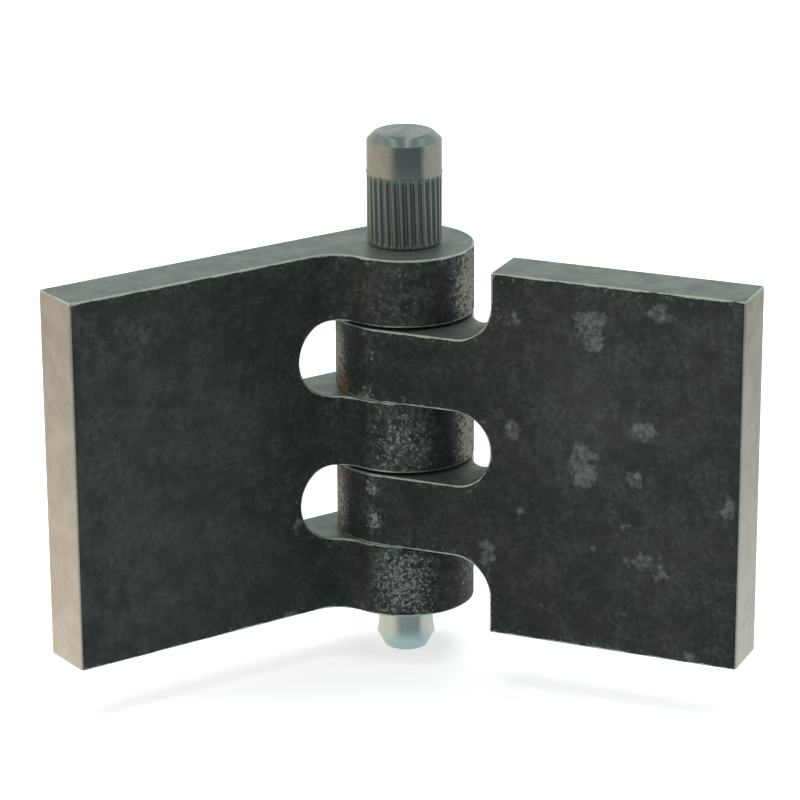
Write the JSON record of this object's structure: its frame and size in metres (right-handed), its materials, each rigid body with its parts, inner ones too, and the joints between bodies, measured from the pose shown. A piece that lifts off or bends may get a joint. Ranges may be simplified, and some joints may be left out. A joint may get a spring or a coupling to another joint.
{
  "type": "weld-on barrel hinge",
  "caption": "Weld-on hinge with thick steel leaves, interlocking round knuckles and a lift-out pin with a knurled grip.",
  "frame": {"origin": "on the hinge axis, at the mid-height of the leaves", "axes": "+Z along the hinge axis towards the pin's grip, +Y out of the frame leaf's weld face; the frame leaf runs along -X"},
  "size_m": [0.076, 0.0569, 0.0726],
  "materials": {
    "scaled_steel": "bare rolled steel with dark mill scale, cut faces brighter",
    "plated_steel": "turned steel with bright zinc plating"
  },
  "bodies": {
    "frame_leaf": {"frame_leaf": "scaled_steel"},
    "door_leaf": {"door_leaf": "scaled_steel"},
    "hinge_pin": {"hinge_pin": "plated_steel"}
  },
  "joints": [
    {"name": "door_swing", "type": "hinge", "parent": "frame_leaf", "child": "door_leaf", "pos_m": [0, 0, 0], "axis": [0, 0, 1], "range_deg": [-71, 187]},
    {"name": "pin_lift", "type": "slide", "parent": "frame_leaf", "child": "hinge_pin", "axis": [0, 0, 1], "range_m": [0, 0.058]}
  ]
}
